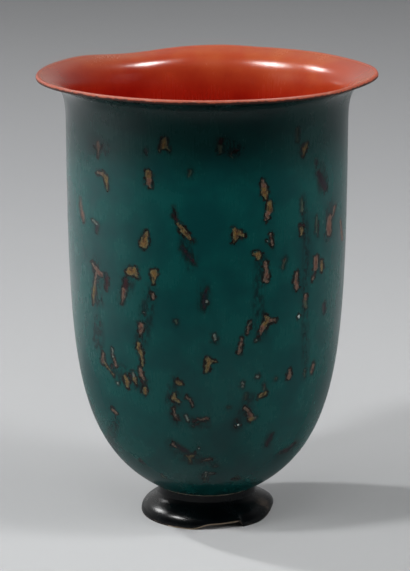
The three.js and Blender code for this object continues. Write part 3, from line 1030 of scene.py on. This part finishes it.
# Painted shadow of the lip on the neck: how dark it gets, and the run from the lip over which it fades.
NECK_PAINTED_SHADE = 0.36
NECK_PAINTED_SHADE_FROM = 46.0
NECK_PAINTED_SHADE_TO = 76.0
FLECK_SINKS = 0.12
FLECK_DULLS = 0.1

green_lacquer, bench, surface = new_material("green lacquer")
place = bench.place_in_mm()
from_edge = bench.attribute("from_edge", "Fac")
base = bench.group(lacquer, Place=place, Colour=GREEN, Deep_colour=GREEN_DEEP, Mottle_size=22.0, Gloss=0.26)

# The outline of a stroke trembles: its place is moved by a coarse and a fine noise, in mm.
coarse = bench.vector("SUBTRACT", bench.noise(place, 0.4, 2.0, 0.5, 1), HALF)
fine = bench.vector("SUBTRACT", bench.noise(place, 1.6, 3.0, 0.6, 1), HALF)
coarse_tremble = bench.vector("MULTIPLY", coarse, (2.2, 2.2, 0))
tremble = bench.vector("ADD", coarse_tremble, bench.vector("MULTIPLY", fine, (1.3, 1.3, 0)))
reach = [
    bench.group(
        stroke,
        Stroke_place=bench.attribute(name + "_place"),
        Stroke_shape=bench.attribute(name + "_shape"),
        Tremble=tremble,
    )
    for name in ("near", "next")
]
second_wins = bench.math("LESS_THAN", reach[1]["Distance"], reach[0]["Distance"])
distance = bench.math("MINIMUM", reach[0]["Distance"], reach[1]["Distance"])
tone_gap = bench.math("SUBTRACT", reach[1]["Tone"], reach[0]["Tone"])
tone = bench.math("MULTIPLY_ADD", tone_gap, second_wins, reach[0]["Tone"])

# Inside: the heart, paler towards its rim, grainy, with patches of the coats between left standing.
patchy = bench.noise(place, 0.9, 3.0, 0.6)
heart_share = bench.step(bench.math("MULTIPLY_ADD", patchy, 1.6, distance), -0.7, 0.5)
heart = bench.mix(heart_share, bench.table(tone, HEART), bench.table(tone, RIM))
heart = bench.dimmed(heart, bench.step(bench.noise(place, 2.1, 4.0, 0.65), 0.36, 0.64, 0.42, 1.15))
upright = bench.vector("MULTIPLY", place, (1.0, 1.0, 0.55))
elsewhere = bench.vector("ADD", upright, (40.0, 0.0, 9.0))
between = bench.step(bench.noise(elsewhere, 0.75, 4.0, 0.7), 0.47, 0.6, 0.0, 0.8)
coat_between = bench.mix(bench.step(patchy, 0.44, 0.56), MAROON_COAT, RING_BLACK)
heart = bench.mix(between, heart, coat_between)

# Around it: a dark ring of changing width that breaks off in places.
ring_width = bench.step(bench.noise(place, 0.33, 2.0), 0.32, 0.68, 0.7, 2.5)
ring_strength = bench.table(tone, [(s, s, s, 1) for s in RING_STRENGTH])
elsewhere = bench.vector("ADD", place, (0.0, 25.0, 0.0))
broken = bench.step(bench.noise(elsewhere, 0.42, 2.0), 0.36, 0.52, 0.3, 1.0)
ring_strength = bench.math("MULTIPLY", ring_strength, broken)
in_ring = bench.step(bench.math("DIVIDE", distance, ring_width), 0.4, 1.0, 1.0, 0.0)
ring = bench.math("MULTIPLY", in_ring, ring_strength)
ring_colour = bench.mix(bench.step(patchy, 0.42, 0.62), RING_BLACK, RING_BROWN)

# Further out: smoke close to the flecks, and wisps of it in the smears.
haze = bench.math("MULTIPLY", bench.step(distance, 0.0, 3.2, 0.5, 0.0), bench.step(patchy, 0.35, 0.6))
drawn_up = bench.vector("MULTIPLY", place, (0.5, 0.5, 0.22))
wisps = bench.step(bench.noise(drawn_up, 1.0, 5.0, 0.65), 0.36, 0.62)
smeared = bench.math("MULTIPLY", bench.attribute("smear", "Fac"), bench.math("MULTIPLY", wisps, 0.8))
colour = bench.mix(bench.math("MAXIMUM", haze, smeared), base["Colour"], SMOKE)
colour = bench.mix(ring, colour, ring_colour)
core = bench.step(distance, -0.4, 0.22, 1.0, 0.0)
colour = bench.mix(core, colour, heart)

# Painted shadow of the lip darkens the neck, cloudy at its lower end; the edge under the red is worn brown.
cloudy = bench.math("MULTIPLY_ADD", bench.noise(place, 0.045, 3.0, 0.6), 26.0, from_edge)
colour = bench.dimmed(colour, bench.step(cloudy, NECK_PAINTED_SHADE_FROM, NECK_PAINTED_SHADE_TO, NECK_PAINTED_SHADE, 1.0))
edge = bench.group(worn_edge, Place=place, Distance=from_edge, Reach=1.3, Raggedness=1.8)
bench.feed(surface["Base Color"], bench.mix(edge["Mask"], colour, EDGE_COLOUR))
dulled = bench.math("MULTIPLY", core, FLECK_DULLS)
bench.feed(surface["Roughness"], bench.math("ADD", base["Roughness"], dulled))
sunk = bench.step(distance, -0.3, 0.6, -FLECK_SINKS, 0.0)
bench.feed(surface["Normal"], bench.bump(bench.math("ADD", base["Height"], sunk), 0.6))
surface["Specular IOR Level"].default_value = 0.33

# %% [markdown]
# The red inside is a warm vermilion with painted light and shade: deeper red further down and towards the
# left, more orange near the lip and to the right. Over the lip it is a paler coral, partly its own colour and
# partly a painted sheen of the light that falls edge-on there, rubbed paler in streaks, with small dark nicks
# along its lower edge, where it ends on the green.

# %% Red lacquer
RED = srgb(180, 32, 14)
RED_DEEP = srgb(158, 17, 8)
RED_NEAR_LIP = srgb(172, 80, 38)
RED_NEAR_LIP_DEEP = srgb(164, 62, 30)
LIP_CORAL = srgb(174, 80, 54)
LIP_PALE = srgb(200, 148, 126)
NICK = srgb(58, 26, 18)

red_lacquer, bench, surface = new_material("red lacquer")
place = bench.place_in_mm()
from_edge = bench.attribute("from_edge", "Fac")
side_ways = bench.parts(place)[0]
# Painted shade and light: deeper red further down and to the left, more orange near the lip and to the right.
painted_depth_and_side_shade = bench.step(bench.math("MULTIPLY_ADD", side_ways, -0.09, from_edge), 10.0, 42.0)
red = bench.mix(painted_depth_and_side_shade, RED_NEAR_LIP, RED)
deep_red = bench.mix(painted_depth_and_side_shade, RED_NEAR_LIP_DEEP, RED_DEEP)
base = bench.group(lacquer, Place=place, Colour=red, Deep_colour=deep_red, Mottle_size=30.0, Gloss=0.25)
over_lip = bench.step(from_edge, 2.4, 5.0, 1.0, 0.0)
drawn_round = bench.vector("MULTIPLY", place, (0.25, 0.25, 1.2))
rubbed = bench.step(bench.noise(drawn_round, 1.0, 3.0, 0.6), 0.52, 0.7)
# The lip's coral is partly its own colour and partly a painted sheen of the light on the edge.
coral = bench.mix(bench.math("MULTIPLY", rubbed, 0.4), LIP_CORAL, LIP_PALE)
lip_colour = bench.mix(over_lip, base["Colour"], coral)
nicks = bench.group(worn_edge, Place=place, Distance=from_edge, Reach=1.5, Raggedness=2.4)
# Painted shade: the lip is darker towards the left.
left_painted_shade = bench.step(side_ways, -95.0, -10.0, 0.74, 1.0)
lip_colour = bench.dimmed(lip_colour, left_painted_shade)
bench.feed(surface["Base Color"], bench.mix(nicks["Mask"], lip_colour, NICK))
bench.feed(surface["Roughness"], bench.math("MULTIPLY_ADD", over_lip, 0.3, base["Roughness"]))
bench.feed(surface["Normal"], bench.bump(base["Height"]))

# %% [markdown]
# The foot is polished black with a trace of blue. It is worn brown along the hem and browner at its right
# end. The hem's own flat edge is bare sheet metal only round the chip in front; the rest of it is still
# black. A duller coat covers the underside. The braze shows as a thin pale line between foot and body.

# %% Black lacquer, braze and sheet metal
BLACK = srgb(3, 7, 9)
BLACK_DEEP = srgb(1, 2, 3)
FOOT_BROWN = srgb(92, 80, 70)
RIGHT_END_BROWN_PLACE = (33.0, -12.0, 8.0)

foot_lacquer, bench, surface = new_material("black foot lacquer")
place = bench.place_in_mm()
height = bench.attribute("from_edge", "Fac")
base = bench.group(lacquer, Place=place, Colour=BLACK, Deep_colour=BLACK_DEEP, Mottle_size=9.0, Gloss=0.25)
hem_wear = bench.group(worn_edge, Place=place, Distance=height, Reach=0.9, Raggedness=2.2)
# Browner towards the right end of the foot.
right_end_reach = bench.vector("LENGTH", bench.vector("SUBTRACT", place, RIGHT_END_BROWN_PLACE))
right_end_reach = bench.math("MULTIPLY_ADD", bench.noise(place, 0.4, 4.0, 0.65), -12.0, right_end_reach)
right_end_brown = bench.step(right_end_reach, -6.0, 1.0, 0.32, 0.0)
colour = bench.mix(right_end_brown, base["Colour"], FOOT_BROWN)
bench.feed(surface["Base Color"], bench.mix(hem_wear["Mask"], colour, FOOT_BROWN))
bench.feed(surface["Roughness"], bench.math("MULTIPLY_ADD", hem_wear["Mask"], 0.2, base["Roughness"]))
bench.feed(surface["Normal"], bench.bump(base["Height"], 0.04))
surface["Specular IOR Level"].default_value = 0.3


def plain_lacquer(name, colour, deep_colour, mottle_size):
    """Lacquer with no wear of its own and less polish, for the coats that show little or not at all."""
    material, bench, surface = new_material(name)
    place = bench.place_in_mm()
    recipe = {"Colour": colour, "Deep_colour": deep_colour, "Mottle_size": mottle_size, "Gloss": 0.45}
    base = bench.group(lacquer, Place=place, **recipe)
    bench.feed(surface["Base Color"], base["Colour"])
    bench.feed(surface["Roughness"], base["Roughness"])
    bench.feed(surface["Normal"], bench.bump(base["Height"]))
    return material


def metal(name, bright, tarnished, roughness, metallic=1.0):
    """A metal finish: bright sheet clouded by brown tarnish, with fine planishing marks in the bump."""
    material, bench, surface = new_material(name)
    place = bench.place_in_mm()
    tarnish = bench.step(bench.noise(place, 0.16, 4.0, 0.6), 0.4, 0.65)
    bench.feed(surface["Base Color"], bench.mix(tarnish, bright, tarnished))
    bench.feed(surface["Roughness"], bench.math("MULTIPLY_ADD", tarnish, 0.2, roughness))
    bench.feed(surface["Normal"], bench.bump(bench.math("MULTIPLY", bench.noise(place, 0.5, 3.0), 0.05)))
    surface["Metallic"].default_value = metallic
    return material


BARE_BRASS = srgb(196, 176, 152)
BARE_PLACE = (-3.0, -37.0, 0.0)
BARE_REACH = 21.0
BARE_RAGGED = 14.0

hem_brass, bench, surface = new_material("hem brass under black")
place = bench.place_in_mm()
away = bench.vector("LENGTH", bench.vector("SUBTRACT", place, BARE_PLACE))
ragged = bench.math("SUBTRACT", bench.noise(place, 0.5, 3.0), 0.5)
away = bench.math("MULTIPLY_ADD", ragged, BARE_RAGGED, away)
bare = bench.step(away, BARE_REACH - 2, BARE_REACH + 2, 1.0, 0.0)
bench.feed(surface["Base Color"], bench.mix(bare, BLACK, BARE_BRASS))
bench.feed(surface["Metallic"], bare)
bench.feed(surface["Roughness"], bench.step(bare, 0.0, 1.0, 0.3, 0.4))
surface["Specular IOR Level"].default_value = 0.24

sheet_brass = metal("worn sheet brass", srgb(214, 196, 156), srgb(150, 118, 84), 0.35)
braze_metal = metal("braze", srgb(206, 190, 166), srgb(110, 92, 78), 0.5, 0.3)
under_lacquer = plain_lacquer("black underside lacquer", BLACK, BLACK_DEEP, 12.0)
ground_lacquer = plain_lacquer("gilded ground lacquer", srgb(164, 116, 58), srgb(92, 56, 34), 8.0)

# %% Put every finish on its piece
FINISHES = {
    "body_shell": (sheet_brass, "sheet_brass"),
    "foot_skirt": (hem_brass, "sheet_brass"),
    "braze_ring": (braze_metal, "braze"),
    "gilded_ground_coat": (ground_lacquer, "gilded_lacquer"),
    "green_top_coat": (green_lacquer, "green_lacquer"),
    "red_inner_coat": (red_lacquer, "red_lacquer"),
    "black_foot_coat": (foot_lacquer, "black_lacquer"),
    "black_underside_coat": (under_lacquer, "black_lacquer"),
}
for node, (material, slot) in FINISHES.items():
    pieces[node].data.materials.append(material)
    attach(pieces[node], "root")
    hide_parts(node)
print("finished", len(FINISHES), "pieces")


# %% [markdown]
# The vase stands on a plain pale floor. Its colour is painted shade: it darkens with distance, as the light
# on a studio sweep falls off, and is a little lighter to the right. The floor is one large flat disc,
# because a wall behind would stand in the way of the views from other sides. Only the camera sees that
# paper. All other rays, and so the gloss of the vase, get a second tone by direction, a painted light and
# reflection as if the sweep and a dark room were there: dim close to the vase and in front, brighter
# behind, most of all at the left.

# %% The floor
FLOOR_RADIUS = 9.0
FLOOR_CORNERS = 96
FLOOR_NEAR = srgb(189, 190, 191)
FLOOR_FAR = srgb(177, 178, 180)
NEAR_PAINTED_SHADE_LEVEL = 0.5

turn = np.linspace(0, 2 * np.pi, FLOOR_CORNERS, endpoint=False)
rim = np.column_stack([FLOOR_RADIUS * np.cos(turn), FLOOR_RADIUS * np.sin(turn), np.zeros(FLOOR_CORNERS)])
floor_mesh = bpy.data.meshes.new("floor")
floor_mesh.from_pydata(rim.tolist(), [], [list(range(FLOOR_CORNERS))])
floor = bpy.data.objects.new("floor", floor_mesh)
bpy.context.scene.collection.objects.link(floor)

floor_material, bench, surface = new_material("pale floor")
where = bench.add("ShaderNodeTexCoord").outputs["Object"]
from_vase = bench.vector("LENGTH", where)
# Painted shade: the paper darkens with distance and is a little lighter to the right.
paper = bench.mix(bench.step(from_vase, -0.15, 1.15), FLOOR_NEAR, FLOOR_FAR)
paper = bench.dimmed(paper, bench.step(bench.parts(where)[0], -0.2, 0.2, 0.99, 1.03))
# For all rays but the camera's, painted light and reflection: dim near the vase and in front, bright behind.
side_ways, back_ways, _ = bench.parts(bench.vector("NORMALIZE", where))
on_left = bench.step(back_ways, -1.0, 0.1, 0.1, 1.3)
on_right = bench.step(back_ways, -1.0, 1.0, 0.1, 0.88)
side_share = bench.step(side_ways, -0.5, 0.5)
far_light = bench.math("MULTIPLY_ADD", bench.math("SUBTRACT", on_right, on_left), side_share, on_left)
beyond = bench.step(from_vase, 0.2, 0.55)
strength = bench.math("MULTIPLY_ADD", bench.math("SUBTRACT", far_light, NEAR_PAINTED_SHADE_LEVEL), beyond, NEAR_PAINTED_SHADE_LEVEL)
to_camera = bench.add("ShaderNodeLightPath").outputs["Is Camera Ray"]
bench.feed(surface["Base Color"], bench.mix(to_camera, bench.dimmed(paper, strength), paper))
surface["Roughness"].default_value = 0.9
surface["Specular IOR Level"].default_value = 0.1
floor_mesh.materials.append(floor_material)
print("floor:", 2 * FLOOR_RADIUS, "m across")

# %% [markdown]
# Plain studio light. Two lamps stand high at the front left and front right, and a small one at the back
# left: the crossing shadows on the floor told where they were. Wide low softboxes at both sides give the
# body its pale flanks, and a weak panel fills in from the front. The lamps that gloss mirrors are a second
# set, the gleams, because the highlights in the photograph are wider than its shadows are soft. So a lamp
# serves either the shadows or the gloss. Behind the vase, gloss sees a backdrop, brighter on the left.

# %% Lamps
LAMP_DISTANCE = 2.6
LAMP_AIM = np.array([0, 0, 0.13])

# name, azimuth and elevation in degrees, size in metres, watts
SHADOW_LAMPS = [
    ("left front lamp", 213, 50, 0.3, 26.0),
    ("left back lamp", 159, 47, 0.16, 29.0),
    ("right front lamp", 336, 50, 0.5, 19.0),
    ("front panel", 265, 56, 1.0, 8.0),
    ("left softbox", 197, 14, 1.0, 30.0),
    ("right softbox", 346, 14, 1.0, 27.0),
]
GLEAMS = [
    ("left front gleam", 197, 53, 0.66, 68.0),
    ("left back gleam", 149, 37, 0.46, 26.0),
    ("right front gleam", 352, 63, 0.64, 66.0),
]


def aimed_lamp(name, azimuth, elevation, size, power):
    """A square lamp at an azimuth and elevation round the vase, facing the middle of the body."""
    a, e = math.radians(azimuth), math.radians(elevation)
    away = np.array([math.cos(a) * math.cos(e), math.sin(a) * math.cos(e), math.sin(e)])
    place = LAMP_AIM + LAMP_DISTANCE * away
    toward = LAMP_AIM - place
    data = bpy.data.lights.new(name, "AREA")
    data.shape = "SQUARE"
    data.size = size
    data.energy = power
    panel = bpy.data.objects.new(name, data)
    yaw = math.atan2(toward[0], -toward[1])
    tilt = math.atan2(math.hypot(toward[0], toward[1]), -toward[2])
    panel.rotation_euler = (-tilt, 0, yaw)
    panel.location = place
    bpy.context.scene.collection.objects.link(panel)
    return panel


for facts in SHADOW_LAMPS:
    aimed_lamp(*facts).visible_glossy = False
for facts in GLEAMS:
    aimed_lamp(*facts).visible_diffuse = False
print(len(SHADOW_LAMPS), "lamps for the shadows,", len(GLEAMS), "for the gloss")

# %% The world
BACKGROUND = srgb(132, 133, 135)
ROOM_LIGHT = 0.08

world = bpy.data.worlds.new("studio")
bpy.context.scene.world = world
world.use_nodes = True
room = Bench(world.node_tree)
background = world.node_tree.nodes["Background"]
rays = room.add("ShaderNodeLightPath").outputs
toward = room.parts(room.add("ShaderNodeTexCoord").outputs["Generated"])
backdrop = room.step(toward[1], -0.35, 0.75, 0.03, 0.45)
backdrop = room.math("MULTIPLY", backdrop, room.step(toward[0], -0.5, 0.5, 1.2, 0.5))
seen = room.math("MULTIPLY", rays["Is Glossy Ray"], backdrop)
lit_dimly = room.math("MULTIPLY", room.math("SUBTRACT", 1.0, rays["Is Glossy Ray"]), ROOM_LIGHT)
shade = room.math("ADD", seen, lit_dimly)
grey = room.join(shade, shade, shade)
room.feed(background.inputs["Color"], room.mix(rays["Is Camera Ray"], grey, BACKGROUND))
background.inputs["Strength"].default_value = 1.0

bpy.context.scene.view_settings.view_transform = "Standard"
